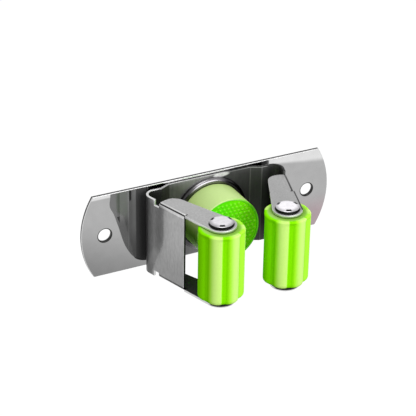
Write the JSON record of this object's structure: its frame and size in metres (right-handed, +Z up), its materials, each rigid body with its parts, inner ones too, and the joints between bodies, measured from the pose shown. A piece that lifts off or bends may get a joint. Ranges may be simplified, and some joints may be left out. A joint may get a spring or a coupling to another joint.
{
  "type": "wall mop holder rack",
  "caption": "Wall mounted spring clip for mop and broom handles: steel plate, two sprung arms with fluted rubber rollers and a sprung rubber bumper.",
  "frame": {"origin": "centre of the wall plate's back face, where it meets the wall", "axes": "+X along the plate, +Y into the wall, +Z up along the roller pins"},
  "size_m": [0.134, 0.059, 0.0437],
  "materials": {
    "plate_steel": "polished stainless steel",
    "clip_steel": "satin spring steel",
    "ring_steel": "bright turned steel",
    "rivet_steel": "bright steel",
    "spring_wire": "spring wire",
    "tread_rubber": "glossy lime-green rubber",
    "bumper_rubber": "smooth pale-green rubber",
    "pad_rubber": "dotted saturated-green rubber",
    "core_plastic": "natural nylon",
    "washer_plastic": "natural nylon"
  },
  "bodies": {
    "base": {"wall_plate": "plate_steel", "clip_web": "clip_steel", "bumper_ring": "ring_steel", "guide_stud": "rivet_steel", "keeper_washer": "rivet_steel", "bumper_spring": "spring_wire"},
    "bumper": {"bumper_plunger": "bumper_rubber", "bumper_pad": "pad_rubber"},
    "left_arm": {"left_clip_arm": "clip_steel", "left_roller_pin": "rivet_steel", "left_upper_washer": "washer_plastic", "left_lower_washer": "washer_plastic"},
    "left_roller": {"left_roller_tread": "tread_rubber", "left_roller_core": "core_plastic"},
    "right_arm": {"right_clip_arm": "clip_steel", "right_roller_pin": "rivet_steel", "right_upper_washer": "washer_plastic", "right_lower_washer": "washer_plastic"},
    "right_roller": {"right_roller_tread": "tread_rubber", "right_roller_core": "core_plastic"}
  },
  "joints": [
    {"name": "left_arm_flex", "type": "hinge", "parent": "base", "child": "left_arm", "pos_m": [-0.0219, -0.0025, 0], "axis": [0, 0, -1], "range_deg": [0, 11], "stiffness_Nm_per_rad": 2.5},
    {"name": "right_arm_flex", "type": "hinge", "parent": "base", "child": "right_arm", "pos_m": [0.0219, -0.0025, 0], "axis": [0, 0, 1], "range_deg": [0, 11], "stiffness_Nm_per_rad": 2.5},
    {"name": "left_roller_spin", "type": "hinge", "parent": "left_arm", "child": "left_roller", "pos_m": [-0.0172, -0.048, 0], "axis": [0, 0, 1], "continuous": true},
    {"name": "right_roller_spin", "type": "hinge", "parent": "right_arm", "child": "right_roller", "pos_m": [0.0172, -0.048, 0], "axis": [0, 0, 1], "continuous": true},
    {"name": "bumper_press", "type": "slide", "parent": "base", "child": "bumper", "axis": [0, 1, 0], "range_m": [0, 0.0018], "stiffness_N_per_m": 2000, "springref_m": -0.001, "deforming": ["bumper_spring"]}
  ]
}
